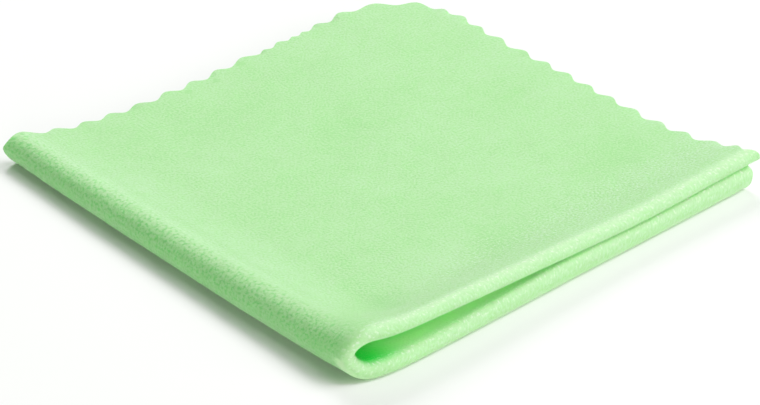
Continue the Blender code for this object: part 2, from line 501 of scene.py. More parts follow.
    def lips_met(self, from_fold: Array, y: Array) -> Array:
        """Share of the room between the lips that the fuller lower lip takes up."""
        along = np.clip((from_fold - self.lips_meet_start) / self.lips_meet_run, 0.0, 1.0)
        return smooth(along ** self.lips_meet_power) * fade(y, self.lips_meet_reach, power=2.0)

    def place(self, p: Array, q: Array) -> Array:
        """Place points of the flat panel on the middle surface of the folded cloth.

        Args:
            p: Places across the panel.
            q: Places along the panel.

        Returns:
            The points (x, y, z), measured from the corner between the two folds.
        """
        inward, height, half = self.lip_section(q)
        y = inward + self.thickness / 2.0
        more_at_lip = self.spread_at_lip - self.spread_at_edge
        spread = self.spread_at_edge + more_at_lip * fade(y, self.spread_reach, power=1.0)
        bend = (2.0 * half + self.thickness + self.layer_gap + spread) / 2.0
        radius = bend + height
        quarter = QUARTER_TURN * (bend + self.slip_share * height)
        angle = QUARTER_TURN * np.minimum(np.abs(p) / quarter, 1.0)
        past_fold = np.maximum(np.abs(p) - quarter, 0.0)
        at_lip = fade(y, self.close_reach)
        drop = spread * (at_lip * closing(past_fold / self.close_at_lip)
                         + (1.0 - at_lip) * closing(past_fold / self.close_inside))
        middle = half + self.thickness / 2.0 + bend
        lift = self.lifted(past_fold, y)
        upper = middle + radius * np.sin(angle) - drop + lift
        raised = self.lips_met(np.abs(p), y) * (spread - drop + lift) * (1.0 - height / half) / 2.0
        lower = middle - radius * np.sin(angle) + raised
        x = bend + half + self.thickness / 2.0 - radius * np.cos(angle) + past_fold
        dx, dy = self.pulled(p, q)
        return np.stack([x + dx, y + dy, np.where(p >= 0.0, upper, lower)], axis=-1)

    def slopes(self, p: Array, q: Array) -> tuple[Array, Array]:
        """Directions in which the folded cloth runs.

        Args:
            p: Places across the panel.
            q: Places along the panel.

        Returns:
            The direction across the panel and the one along it, at each place.
        """
        along_p = self.place(p + self.step, q) - self.place(p - self.step, q)
        along_q = self.place(p, q + self.step) - self.place(p, q - self.step)
        return along_p / (2.0 * self.step), along_q / (2.0 * self.step)

    def normals(self, p: Array, q: Array) -> Array:
        """Unit normals of the folded middle surface, out of the cloth's outer face."""
        across = np.cross(*self.slopes(p, q))
        return across / np.linalg.norm(across, axis=-1, keepdims=True)


@dataclass(frozen=True)
class Patch:
    """A soft oval patch on the top of the cloth; its lengths are in mm.

    Attributes:
        across: Place of its middle across the panel.
        along: Place of its middle along the panel.
        length: Half its length.
        width: Half its width.
        turn: Angle of its length from the p direction, in degrees.
        amount: What it adds at its middle.
    """

    across: float
    along: float
    length: float
    width: float
    turn: float
    amount: float

    def at(self, p: Array, q: Array) -> Array:
        """What the patch adds.

        Args:
            p: Places across the panel.
            q: Places along the panel.

        Returns:
            What it adds at each place.
        """
        turn = math.radians(self.turn)
        beside, beyond = p / MM - self.across, q / MM - self.along
        u = (beside * math.cos(turn) + beyond * math.sin(turn)) / self.length
        v = (beyond * math.cos(turn) - beside * math.sin(turn)) / self.width
        return self.amount * np.exp(-u ** 2 - v ** 2)


# Soft hollows and swellings of the top, with their heights in mm.
TROUGHS = (
    Patch(44.0, 12.5, 11.0, 4.5, 4.0, -0.16),
    Patch(80.0, 19.0, 10.0, 5.0, 12.0, -0.16),
    Patch(14.0, 11.0, 6.0, 4.5, 30.0, -0.14),
    Patch(82.0, 51.0, 9.0, 7.0, 60.0, -0.12),
    Patch(53.0, 63.0, 12.0, 6.0, 25.0, -0.13),
    Patch(35.0, 80.0, 13.0, 7.0, -15.0, -0.12),
    Patch(36.0, 17.0, 9.0, 5.0, 20.0, 0.1),
    Patch(74.0, 74.0, 12.0, 8.0, 40.0, 0.1),
)

# Deeper (below 0) and lighter (above 0) greens of the top, on the scale of the knit's tone: painted shade
# and painted light, mostly over its soft dips and swellings.
PAINTED_SHADES = (
    Patch(44.0, 12.5, 8.0, 4.5, 0.0, -0.35),
    Patch(81.0, 19.0, 9.0, 5.0, 10.0, -0.35),
    Patch(89.0, 25.0, 6.0, 5.0, 0.0, -0.2),
    Patch(13.0, 10.5, 6.5, 4.5, 30.0, -0.7),
    Patch(82.0, 51.0, 8.0, 6.0, 0.0, -0.3),
    Patch(53.0, 63.0, 9.0, 7.0, 20.0, -0.35),
    Patch(36.0, 80.0, 14.0, 7.0, 0.0, -0.25),
    Patch(36.0, 16.0, 7.0, 5.0, 0.0, 0.3),
    Patch(3.0, 6.0, 4.0, 5.0, 0.0, -0.7),
)


@dataclass(frozen=True)
class Relief:
    """Unevenness of the outer face: soft troughs and a fine random swelling, on what shows.

    Attributes:
        troughs: Hollows and swellings, listed one by one.
        swelling: Height of the broad random swelling.
        swelling_size: Distance between two of its swellings.
        dapple: Height of the finer one.
        dapple_size: Distance between two of its swellings.
        under_start: How far under the long fold the relief starts.
        lip_start: How far inside the lips it starts.
        ease: Over which distance it grows to its full height.
        seed: Seed of the random swellings.
    """

    troughs: tuple[Patch, ...] = TROUGHS
    swelling: float = 0.05 * MM
    swelling_size: float = 11.0 * MM
    dapple: float = 0.018 * MM
    dapple_size: float = 3.6 * MM
    under_start: float = 4.0 * MM
    lip_start: float = 2.0 * MM
    ease: float = 5.0 * MM
    seed: int = 11

    def at(self, p: Array, q: Array) -> Array:
        """How far the outer face stands proud of its plain place.

        Args:
            p: Places across the panel.
            q: Places along the panel.

        Returns:
            The height at each place.
        """
        height = self.swelling * soft_noise(p, q, self.swelling_size, self.seed)
        height = height + self.dapple * soft_noise(p, q, self.dapple_size, self.seed + 1)
        for trough in self.troughs:
            height = height + trough.at(p, q) * MM
        shows = smooth((p + self.under_start) / self.ease) * smooth((q + self.lip_start) / self.ease)
        return height * shows


class Pattern(Enum):
    """Values on the sheet's points that its finish reads."""

    # Painted light on the pocket's walls.
    PAINTED_POCKET_LIGHT = "inner"
    # Painted shade in the pocket: a deep green at its closed end and far inside it.
    PAINTED_POCKET_SHADE = "ground"
    # Painted light: a highlight on the lips' crests, and a lighter foot of the lower lip and bend of the
    # long fold.
    PAINTED_LIGHT = "painted_light"
    # Where glints are painted: on the lips' crests and in the dip behind the upper lip.
    PAINTED_GLINTS = "sparkle"
    SHOULDER = "shoulder"
    # Painted shade and painted light in patches on the top.
    PAINTED_SHADE = "shade"


@dataclass(frozen=True)
class Zones:
    """Where the knit changes its look, mostly through painted light and shade: in the pocket, along the
    lips and on the long fold.

    Attributes:
        inner: Rise of the painted light inside the pocket, a bright green, from the noses of the lips
            inwards.
        ground: Rise of the painted shade, a deep green, at the pocket's closed end, the same way.
        pocket_shade_end: Where that painted shade ends, from the long fold.
        deep: Rise of the painted shade, a deep green, far inside the pocket.
        deep_shade_share: How much of it there is at most.
        crest: The crest of the lips, from their noses, with a painted highlight and painted glints.
        corner_run: Over which distance the crest moves from the lower lip to the upper one.
        foot: The foot of the lower lip, made lighter with painted light.
        bend: The bend of the long fold, made lighter with painted light.
        dip: The dip behind the upper lip, where glints are painted.
        dip_rise: Where it starts, from the long fold.
        shoulder: The flecked shoulder of the long fold.
        shoulder_rise: Where it starts, from the lips.
        painted_shades: Patches of painted shade and painted light on the top.
    """

    inner: Ramp = Ramp(0.5 * MM, 3.0 * MM)
    ground: Ramp = Ramp(0.0, 1.9 * MM)
    pocket_shade_end: Ramp = Ramp(5.5 * MM, 9.0 * MM)
    deep: Ramp = Ramp(3.4 * MM, 3.5 * MM)
    deep_shade_share: float = 0.5
    crest: Band = Band(1.3 * MM, 1.2 * MM, strength=0.5)
    corner_run: float = 8.0 * MM
    foot: Band = Band(1.9 * MM, 1.2 * MM, strength=0.9)
    bend: Band = Band(3.4 * MM, 2.2 * MM, strength=0.42)
    dip: Band = Band(9.0 * MM, 7.0 * MM, strength=0.6)
    dip_rise: Ramp = Ramp(20.0 * MM, 20.0 * MM)
    shoulder: Band = Band(1.9 * MM, 3.2 * MM, power=3.0)
    shoulder_rise: Ramp = Ramp(0.8 * MM, 3.0 * MM)
    # Patches of painted shade and painted light on the top.
    painted_shades: tuple[Patch, ...] = PAINTED_SHADES

    def patterns(self, p: Array, q: Array, inward: Array, outer: Array) -> dict[Pattern, Array]:
        """Values of the patterns.

        Args:
            p: Places across the panel.
            q: Places along the panel.
            inward: Distances from the noses of the lips.
            outer: Which of the places are on the outer face.

        Returns:
            For each pattern its value at each place, from 0 to 1, and for the patches of painted shade
            around 0.
        """
        in_pocket = (q < 0.0) * outer
        # Painted shade in the pocket: a deep green at its closed end and far inside it.
        at_closed_end = (1.0 - self.pocket_shade_end.at(np.abs(p))) * in_pocket * self.ground.at(inward)
        crest_middle = self.crest.middle * np.clip(p / self.corner_run, -1.0, 1.0)
        on_crest = fade(np.abs(q - crest_middle), self.crest.reach, self.crest.power)
        return {
            # Painted light on the pocket's walls.
            Pattern.PAINTED_POCKET_LIGHT: in_pocket * self.inner.at(inward),
            Pattern.PAINTED_POCKET_SHADE: np.maximum(at_closed_end, in_pocket * self.deep.at(inward) * self.deep_shade_share),
            # Painted light: the crests' highlight, the lower lip's foot and the long fold's bend.
            Pattern.PAINTED_LIGHT: np.maximum.reduce([
                on_crest * self.crest.strength, (p < 0.0) * self.foot.at(q), self.bend.at(p),
            ]),
            # Painted glints on the crests and in the dip.
            Pattern.PAINTED_GLINTS: np.maximum(on_crest, self.dip.at(q) * self.dip_rise.at(p)),
            Pattern.SHOULDER: self.shoulder.at(p) * self.shoulder_rise.at(q),
            # Painted shade and painted light in patches on the top.
            Pattern.PAINTED_SHADE: sum(shade.at(p, q) for shade in self.painted_shades),
        }


class Region(Enum):
    """Parts of the outer face on which fibres are planted."""

    TOP_NEAR = "top_near"
    TOP_FAR = "top_far"
    LONG_FOLD = "long_fold"
    LIPS = "lips"
    POCKET = "pocket"
    CUT_EDGE = "cut_edge"


@dataclass
class ClothSheet:
    """The folded cloth as one closed sheet, with a soft round cut edge.

    Attributes:
        panel: The flat panel.
        folds: How it is folded.
        relief: Unevenness of its outer face.
        zones: Where the knit changes its look, mostly through painted light and shade.
        rim_rings: Rings of points round the cut edge, between the two faces.
        rim_bulge: How far the cut edge bulges out.
        sharp_angle: Edges of the mesh with a larger angle, in degrees, are shaded sharp.
        fold_band: Half the width of the long fold's nap.
        lip_band: Half the width of the lips' nap.
        far_share: Where the top's far nap begins, as a share of half the width.
        pocket_depth: How far inside the pocket fibres are planted.
        pocket_width: How far from the long fold they are.
        planting_floor: No fibres are planted below this height.
        flat: Points (p, q) of the flat panel.
        faces: Its triangles.
        points: Points of the folded sheet.
        corner: Place of the corner between the two folds.
    """

    panel: Panel = field(default_factory=Panel)
    folds: Folds = field(default_factory=Folds)
    relief: Relief = field(default_factory=Relief)
    zones: Zones = field(default_factory=Zones)
    rim_rings: int = 3
    rim_bulge: float = 0.14 * MM
    sharp_angle: float = 50.0
    fold_band: float = 8.0 * MM
    lip_band: float = 2.8 * MM
    far_share: float = 0.93
    pocket_depth: float = 22.0 * MM
    pocket_width: float = 60.0 * MM
    planting_floor: float = 0.6 * MM
    flat: Array = field(init=False)
    faces: Array = field(init=False)
    points: Array = field(init=False)
    corner: Array = field(init=False)

    def __post_init__(self) -> None:
        """Mesh the panel and fold it."""
        self.flat, self.faces = self.panel.mesh()
        self.points, self.corner = self.folded_points()

    def rim_edges(self) -> Array:
        """Edges of the panel's border.

        Returns:
            Rows of two point numbers, in the direction of the border's triangles.
        """
        ends = np.concatenate([self.faces[:, [0, 1]], self.faces[:, [1, 2]], self.faces[:, [2, 0]]])
        count = len(self.flat)
        there, back = ends[:, 0] * count + ends[:, 1], ends[:, 1] * count + ends[:, 0]
        return ends[~np.isin(there, back)]

    def outward(self, edges: Array) -> tuple[Array, Array]:
        """Directions out of the cut edge.

        Args:
            edges: The border's edges.

        Returns:
            The numbers of the border's points, and the unit direction at each of them.
        """
        run = self.flat[edges[:, 1]] - self.flat[edges[:, 0]]
        across = np.stack([run[:, 1], -run[:, 0]], axis=-1)
        total = np.zeros_like(self.flat)
        for end in (0, 1):
            np.add.at(total, edges[:, end], across)
        numbers = np.unique(edges)
        along_p, along_q = self.folds.slopes(*self.flat[numbers].T)
        out = along_p * total[numbers, :1] + along_q * total[numbers, 1:]
        return numbers, out / np.linalg.norm(out, axis=-1, keepdims=True)

    def folded_points(self) -> tuple[Array, Array]:
        """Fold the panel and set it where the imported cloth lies.

        Returns:
            The points of the outer face, the inner face and the rings of the cut edge, in that
            order, and the place of the corner between the two folds.
        """
        p, q = self.flat.T
        middle, normal = self.folds.place(p, q), self.folds.normals(p, q)
        half = self.panel.thickness / 2.0
        numbers, out = self.outward(self.rim_edges())
        rings = []
        for ring in range(1, self.rim_rings + 1):
            angle = math.pi * ring / (self.rim_rings + 1)
            rings.append(middle[numbers] + half * math.cos(angle) * normal[numbers]
                         + self.rim_bulge * math.sin(angle) * out)
        plain = np.concatenate([middle + half * normal, middle - half * normal])
        low, high = (np.array(corner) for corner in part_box(CLOTH_NODE))
        corner = (low + high) / 2.0 - (plain.min(axis=0) + plain.max(axis=0)) / 2.0
        corner[2] = 0.0
        plain[:len(p)] += self.relief.at(p, q)[:, None] * normal
        return np.concatenate([plain, *rings]) + corner, corner

    def all_faces(self) -> tuple[list[list[int]], int]:
        """Faces of the closed sheet.

        Returns:
            The faces of the outer face, the inner face and the cut edge, and how many of them are
            on the cut edge.
        """
        count = len(self.flat)
        edges = self.rim_edges()
        numbers = np.unique(edges)
        position = np.zeros(count, dtype=int)
        position[numbers] = np.arange(len(numbers))
        ring = [edges]
        for number in range(self.rim_rings):
            ring.append(2 * count + number * len(numbers) + position[edges])
        ring.append(edges + count)
        rim = np.concatenate([
            np.stack([a[:, 0], b[:, 0], b[:, 1], a[:, 1]], axis=-1) for a, b in zip(ring, ring[1:])
        ]).tolist()
        skins = self.faces.tolist() + (self.faces[:, ::-1] + count).tolist()
        return skins + rim, len(rim)

    def flat_of_points(self, beside: float = 0.0) -> Array:
        """Place on the flat panel of every point of the closed sheet.

        Args:
            beside: How far the inner face is set beside the outer one.

        Returns:
            The places (p, q), in the order of the sheet's points.
        """
        numbers = np.unique(self.rim_edges())
        rims = [self.flat[numbers]] * self.rim_rings
        return np.concatenate([self.flat, self.flat + np.array([beside, 0.0]), *rims])

    def patterns(self) -> dict[Pattern, Array]:
        """Values of the patterns at every point of the closed sheet.

        Returns:
            For each pattern its values, in the order of the sheet's points.
        """
        p, q = self.flat_of_points().T
        inward, _, _ = self.folds.lip_section(q)
        on_outer_face = np.arange(len(p)) < len(self.flat)
        return self.zones.patterns(p, q, inward, on_outer_face)

    def build(self, material: bpy.types.Material) -> bpy.types.Object:
        """Make the cloth's object.

        Args:
            material: The knit's finish.

        Returns:
            The finished sheet, with its place in its mesh.
        """
        faces, _ = self.all_faces()
        mesh = bpy.data.meshes.new("microfibre_sheet")
        mesh.from_pydata(self.points.tolist(), [], faces)
        mesh.materials.append(material)
        mesh.shade_smooth()
        mesh.set_sharp_from_angle(angle=math.radians(self.sharp_angle))
        self.write_map(mesh, self.flat_of_points(beside=MAP_SPAN / 2.0))
        for pattern, values in self.patterns().items():
            attribute = mesh.attributes.new(pattern.value, "FLOAT", "POINT")
            attribute.data.foreach_set("value", values.astype(np.float32))
        sheet = bpy.data.objects.new("microfibre_sheet", mesh)
        bpy.context.scene.collection.objects.link(sheet)
        return sheet

    @staticmethod
    def write_map(mesh: bpy.types.Mesh, flat: Array) -> None:
        """Write each corner's place on the flat panel as the mesh's UV map.

        Args:
            mesh: The mesh.
            flat: The place (p, q) of each of its points.
        """
        corners = np.empty(len(mesh.loops), dtype=np.int32)
        mesh.loops.foreach_get("vertex_index", corners)
        uv = (flat / MAP_SPAN + MAP_MIDDLE)[corners].astype(np.float32)
        mesh.uv_layers.new(name=FLAT_MAP).data.foreach_set("uv", uv.ravel())

    def planted_faces(self, region: Region) -> Array:
        """Triangles of the outer face that lie in a region.

        Args:
            region: The part of the cloth.

        Returns:
            Rows of three point numbers.
        """
        p, q = self.flat[self.faces].mean(axis=1).T
        on_top = (p > self.fold_band) & (q > self.lip_band)
        far = p + q > self.panel.half_width * self.far_share
        chosen = {
            Region.TOP_NEAR: on_top & ~far,
            Region.TOP_FAR: on_top & far,
            Region.LONG_FOLD: (np.abs(p) <= self.fold_band) & (q > self.lip_band),
            Region.LIPS: np.abs(q) <= self.lip_band,
            Region.POCKET: ((q < -self.lip_band) & (q > -self.pocket_depth)
                            & (np.abs(p) < self.pocket_width)),
        }
        above = self.points[self.faces].mean(axis=1)[:, 2] > self.planting_floor
        return self.faces[chosen[region] & above]

    def planting_mesh(self, region: Region) -> bpy.types.Mesh:
        """The faces on which a region's fibres are planted.

        Args:
            region: The part of the cloth.

        Returns:
            A mesh of those faces alone, with the flat map.
        """
        if region is Region.CUT_EDGE:
            faces, rim_count = self.all_faces()
            rows = faces[-rim_count:]
        else:
            rows = self.planted_faces(region).tolist()
        used = np.unique(np.array(rows))
        position = np.zeros(len(self.points), dtype=int)
        position[used] = np.arange(len(used))
        mesh = bpy.data.meshes.new(f"planting_{region.value}")
        mesh.from_pydata(self.points[used].tolist(), [], position[np.array(rows)].tolist())
        self.write_map(mesh, self.flat_of_points()[used])
        return mesh


class Recipe:
    """Adds nodes to a tree and links them, so that a finish or a growth reads as a recipe."""

    def __init__(self, tree: bpy.types.NodeTree) -> None:
        """Take the tree that the nodes go into."""
        self.tree = tree

    def add(self, kind: str, inputs: dict | None = None, **settings: object) -> bpy.types.Node:
        """Add one node.

        Args:
            kind: Blender's name of the node's type.
            inputs: For each input, by name or number, a value or the output it is linked to.
            **settings: The node's own settings.

        Returns:
            The new node.
        """
        node = self.tree.nodes.new(kind)
        for name, value in settings.items():
            setattr(node, name, value)
        for name, value in (inputs or {}).items():
            if isinstance(value, bpy.types.NodeSocket):
                self.tree.links.new(value, node.inputs[name])
            else:
                node.inputs[name].default_value = value
        return node

    def math(self, operation: str, first: object, second: object = 0.0) -> bpy.types.NodeSocket:
        """Output of a Math node in a shader tree or a Geometry Nodes tree."""
        return self.add("ShaderNodeMath", {0: first, 1: second}, operation=operation).outputs[0]

    def vector_math(self, operation: str, first: object, second: object) -> bpy.types.NodeSocket:
        """Output of a Vector Math node."""
        return self.add("ShaderNodeVectorMath", {0: first, 1: second}, operation=operation).outputs[0]

    def vector_scale(self, vector: object, share: object) -> bpy.types.NodeSocket:
        """A vector made longer or shorter."""
        node = self.add("ShaderNodeVectorMath", {0: vector, "Scale": share}, operation="SCALE")
        return node.outputs[0]

    def noise(self, vector: object, scale: float, detail: float) -> bpy.types.Node:
        """A Noise Texture."""
        return self.add("ShaderNodeTexNoise", {"Vector": vector, "Scale": scale, "Detail": detail})

    def mix(self, share: object, first: object, second: object) -> bpy.types.NodeSocket:
        """Mix of two colours.

        Args:
            share: Share of the second colour, a number or another node's output.
            first: The first colour, or another node's output.
            second: The second one.

        Returns:
            The mixed colour's output.
        """
        node = self.add("ShaderNodeMix", data_type="RGBA")
        colours = [socket for socket in node.inputs if socket.type == "RGBA"]
        factor = next(socket for socket in node.inputs if socket.enabled and socket.type == "VALUE")
        for socket, value in ((factor, share), (colours[0], first), (colours[1], second)):
            if isinstance(value, bpy.types.NodeSocket):
                self.tree.links.new(value, socket)
            else:
                socket.default_value = (*value, 1.0) if socket.type == "RGBA" else value
        return next(socket for socket in node.outputs if socket.type == "RGBA")

    def pattern(self, pattern: Pattern) -> bpy.types.NodeSocket:
        """Value of one of the sheet's patterns."""
        return self.add("ShaderNodeAttribute", attribute_name=pattern.value).outputs["Fac"]

    def weighed(self, parts: list[tuple[bpy.types.NodeSocket, object]]) -> bpy.types.NodeSocket:
        """Sum of patterns around their middle value.

        Args:
            parts: Each pattern's output, and its weight, a number or another output.

        Returns:
            0.5 plus each pattern less 0.5, times its weight.
        """
        total = 0.5
        for pattern, weight in parts:
            centred = self.math("SUBTRACT", pattern, 0.5)
            scaled = self.math("MULTIPLY", centred, weight)
            total = self.math("ADD", scaled, total)
        return total


def new_material(name: str) -> tuple[bpy.types.Material, Recipe, bpy.types.Node]:
    """Start a material.

    Args:
        name: Its name.

    Returns:
        The material, the recipe of its nodes, and its shader.
    """
    material = bpy.data.materials.new(name)
    material.use_nodes = True
    return material, Recipe(material.node_tree), material.node_tree.nodes["Principled BSDF"]


@dataclass(frozen=True)
class Mottle:
    """A random pattern on the flat cloth.

    Attributes:
        across: How many swellings a millimetre has across the panel.
        along: How many it has along the panel.
        detail: How many finer patterns are laid over it.
    """

    across: float
    along: float
    detail: float = 2.0


@dataclass(frozen=True)
class Specks:
    """Specks of another colour, where a random pattern is high.

    Attributes:
        mottle: The pattern.
        start: Where the pattern begins to show.
        end: Where it shows in full.
        share: How much of the colour there is at most.
    """

    mottle: Mottle
    start: float
    end: float
    share: float


@dataclass(frozen=True)
class ShadeSpot:
    """A small dark spot of painted shade near a tooth of the edge: its place across and along, and its
    radius in mm.
    """

    across: float
    along: float
    radius: float


@dataclass(frozen=True)
class KnitFinish:
    """Brushed microfibre knit: fine ribs along q, broken into stitches, under a short soft nap, with light
    and shade painted along the lips, in the pocket and on the top.

    Attributes:
        pale: Colour of the knit's raised places.
        deep: Colour of its low places.
        painted_light: Colour that the lips' crests, the lower lip's foot and the long fold's bend come
            nearer to: a painted highlight on the crests and painted light on the foot and the bend.
        glint: Colour of the painted glints on the crests of the lips and in the dip behind them.
        inner: Colour inside the pocket, a bright green that paints light onto its walls.
        ground: Colour of the painted shade at the pocket's closed end and far inside it.
        fleck: Colour of the flecks on the long fold.
        flecks: Where the flecks lie.
        glints: Where the painted glints lie.
        pocket_shade_share: How much of the painted shade's colour shows at most.
        roughness: Roughness of the knit.
        shine: Its shine.
        sheen: How strong the soft sheen of its fibres is.
        sheen_roughness: How soft the sheen is.
        sheen_tint: Colour of the sheen.
        glow: How much light goes through the fibres.
        glow_depth: How deep it goes, for each of the three colours.
        broad: Broadest mottle of the knit.
        broad_share: How strong it is.
        dapple: Middle one.
        dapple_share: How strong it is.
        dapple_height: How high it stands.
        dapple_strength: How much of that height shows.
        grain: Finest one.
        grain_on_top: How strong it is.
        grain_where_sparkling: How much stronger it is where glints are painted.
        dashes: Stitches, longer along the ribs.
        dash_on_top: How strong they are.
        dash_on_fold: How much stronger they are on the long fold.
        rib_pitch: Distance between two ribs, in mm.
        rib_on_fold: How strong the ribs are on the long fold.
        rib_waver: How far the ribs waver.
        rib_waver_scale: How fast they do.
        bump_height: Height of the ribs, dashes and grain.
        bump_strength: How much of that height shows.
        shade_spots: The spots of painted shade.
        shade_spot_depth: How much deeper the knit's tone is in them.
    """

    pale: Colour = (0.375, 0.70, 0.322)
    deep: Colour = (0.285, 0.635, 0.238)
    # Painted light for the crests' highlight, the lower lip's foot and the long fold's bend.
    painted_light: Colour = (0.58, 0.90, 0.49)
    # Painted glints, near white.
    glint: Colour = (0.85, 0.97, 0.80)
    # Bright green of the painted light inside the pocket.
    inner: Colour = (0.53, 0.99, 0.42)
    # Deep green of the painted shade in the pocket.
    ground: Colour = (0.0, 0.82, 0.08)
    fleck: Colour = (0.10, 0.56, 0.12)
    flecks: Specks = Specks(Mottle(2.3, 1.5, 2.5), start=0.45, end=0.66, share=0.58)
    glints: Specks = Specks(Mottle(2.2, 2.2), start=0.55, end=0.68, share=0.55)
    pocket_shade_share: float = 0.97
    roughness: float = 0.92
    shine: float = 0.15
    sheen: float = 0.25
    sheen_roughness: float = 0.45
    sheen_tint: Colour = (0.86, 1.0, 0.82)
    glow: float = 0.6
    glow_depth: Colour = (0.5 * MM, 1.6 * MM, 0.45 * MM)
    broad: Mottle = Mottle(0.055, 0.055)
    broad_share: float = 0.7
    dapple: Mottle = Mottle(0.32, 0.32, 3.0)
    dapple_share: float = 0.8
    dapple_height: float = 0.1 * MM
    dapple_strength: float = 0.35
    grain: Mottle = Mottle(2.1, 2.1)
    grain_on_top: float = 2.8
    grain_where_sparkling: float = 1.4
    dashes: Mottle = Mottle(2.1, 0.8)
    dash_on_top: float = 0.3
    dash_on_fold: float = 1.6
    rib_pitch: float = 0.62
    rib_on_fold: float = 0.35
    rib_waver: float = 1.6
    rib_waver_scale: float = 2.2
    bump_height: float = 0.05 * MM
    bump_strength: float = 0.8
    # Painted shade: small dark spots near three teeth of the edge.
    shade_spots: tuple[ShadeSpot, ...] = (
        ShadeSpot(45.3, 93.0, 1.3),
        ShadeSpot(52.9, 94.4, 1.3),
        ShadeSpot(38.5, 93.3, 1.2),
    )
    shade_spot_depth: float = 1.2

    def coordinates(self, recipe: Recipe, across: float = 1.0, along: float = 1.0) -> bpy.types.NodeSocket:
        """Place on the flat panel.

        Args:
            recipe: The material's recipe.
            across: How many steps of the place a millimetre has across the panel.
            along: How many it has along the panel.

        Returns:
            The output with the place.
        """
        place = recipe.add("ShaderNodeAttribute", attribute_name=FLAT_MAP).outputs["Vector"]
        scale = (MAP_SPAN / MM * across, MAP_SPAN / MM * along, 1.0)
        return recipe.add("ShaderNodeMapping", {"Vector": place, "Scale": scale}).outputs[0]

    def mottled(self, recipe: Recipe, mottle: Mottle) -> bpy.types.NodeSocket:
        """Output of a random pattern."""
        place = self.coordinates(recipe, mottle.across, mottle.along)
        return recipe.noise(place, 1.0, mottle.detail).outputs[0]

    def specked(self, recipe: Recipe, specks: Specks, where: bpy.types.NodeSocket) -> bpy.types.NodeSocket:
        """How much of a speck's colour shows.

        Args:
            recipe: The material's recipe.
            specks: The specks.
            where: From 0 to 1, where they lie.

        Returns:
            The output with the share.
        """
        shown = recipe.add("ShaderNodeMapRange", {
            "Value": self.mottled(recipe, specks.mottle),
            "From Min": specks.start,
            "From Max": specks.end,
            "To Max": specks.share,
        })
        return recipe.math("MULTIPLY", shown.outputs[0], where)

    def ribs(self, recipe: Recipe) -> bpy.types.NodeSocket:
        """Ribs of the knit.

        Args:
            recipe: The material's recipe.

        Returns:
            The output of a wave across the panel.
        """
        wave_at_scale_one = 2.0 * math.pi / 20.0
        return recipe.add("ShaderNodeTexWave", {
            "Vector": self.coordinates(recipe),
            "Scale": wave_at_scale_one / self.rib_pitch,
            "Distortion": self.rib_waver,
            "Detail": 1.0,
            "Detail Scale": self.rib_waver_scale,
        }).outputs["Fac"]

    def painted_spot_shade(self, recipe: Recipe) -> bpy.types.NodeSocket:
        """How much deeper the knit's tone is in the spots of painted shade.

        Args:
            recipe: The material's recipe.

        Returns:
            The output with the depth.
        """
        total: object = 0.0
        middle = MAP_SPAN * MAP_MIDDLE / MM
        for mark in self.shade_spots:
            distance = recipe.add("ShaderNodeVectorMath", {
                0: self.coordinates(recipe), 1: (middle + mark.across, middle + mark.along, 0.0),
            }, operation="DISTANCE")
            near = recipe.add("ShaderNodeMapRange", {
                "Value": distance.outputs["Value"],
                "From Min": mark.radius,
                "From Max": 0.0,
            }, interpolation_type="SMOOTHSTEP").outputs[0]
            total = recipe.math("ADD", near, total)
        return recipe.math("MULTIPLY", total, self.shade_spot_depth)

    def make(self) -> bpy.types.Material:
        """Build the material.

        Returns:
            The finished material.
        """
        material, recipe, shader = new_material("brushed_microfibre_knit")
        # Where glints are painted; the grain is stronger there too.
        sparkle = recipe.pattern(Pattern.PAINTED_GLINTS)
        shoulder = recipe.pattern(Pattern.SHOULDER)
        dash_share = recipe.math("MULTIPLY", shoulder, self.dash_on_fold)
        dash_share = recipe.math("ADD", dash_share, self.dash_on_top)
        grain_share = recipe.math("MULTIPLY", sparkle, self.grain_where_sparkling)
        grain_share = recipe.math("ADD", grain_share, self.grain_on_top)
        rib_share = recipe.math("MULTIPLY", shoulder, self.rib_on_fold)
        ribs = self.ribs(recipe), rib_share
        dashes = self.mottled(recipe, self.dashes), dash_share
        grain = self.mottled(recipe, self.grain), grain_share
        dapple = self.mottled(recipe, self.dapple)
        broad = self.mottled(recipe, self.broad)

        tone = recipe.weighed([(broad, self.broad_share), (dapple, self.dapple_share), grain, dashes, ribs])
        # Painted shade and painted light of the top's patches.
        tone = recipe.math("ADD", tone, recipe.pattern(Pattern.PAINTED_SHADE))
        # Painted shade: small dark spots near teeth of the edge.
        tone = recipe.math("SUBTRACT", tone, self.painted_spot_shade(recipe))
        colour = recipe.mix(tone, self.deep, self.pale)
        # Painted shade in the pocket.
        ground = recipe.math("MULTIPLY", recipe.pattern(Pattern.PAINTED_POCKET_SHADE), self.pocket_shade_share)
        for share, other in (
            # Painted light on the crests, the lower lip's foot and the long fold's bend.
            (recipe.pattern(Pattern.PAINTED_LIGHT), self.painted_light),
            (self.specked(recipe, self.flecks, shoulder), self.fleck),
            # Painted light inside the pocket.
            (recipe.pattern(Pattern.PAINTED_POCKET_LIGHT), self.inner),
            (ground, self.ground),
            # Painted glints.
            (self.specked(recipe, self.glints, sparkle), self.glint),
        ):
            colour = recipe.mix(share, colour, other)
        recipe.tree.links.new(colour, shader.inputs["Base Color"])

        coarse = recipe.add("ShaderNodeBump", {
            "Strength": self.dapple_strength, "Distance": self.dapple_height, "Height": dapple,
        })
        bump = recipe.add("ShaderNodeBump", {
            "Strength": self.bump_strength,
            "Distance": self.bump_height,
            "Height": recipe.weighed([ribs, dashes, grain]),
            "Normal": coarse.outputs[0],
        })
        recipe.tree.links.new(bump.outputs[0], shader.inputs["Normal"])
        self.set_surface(shader)
        return material

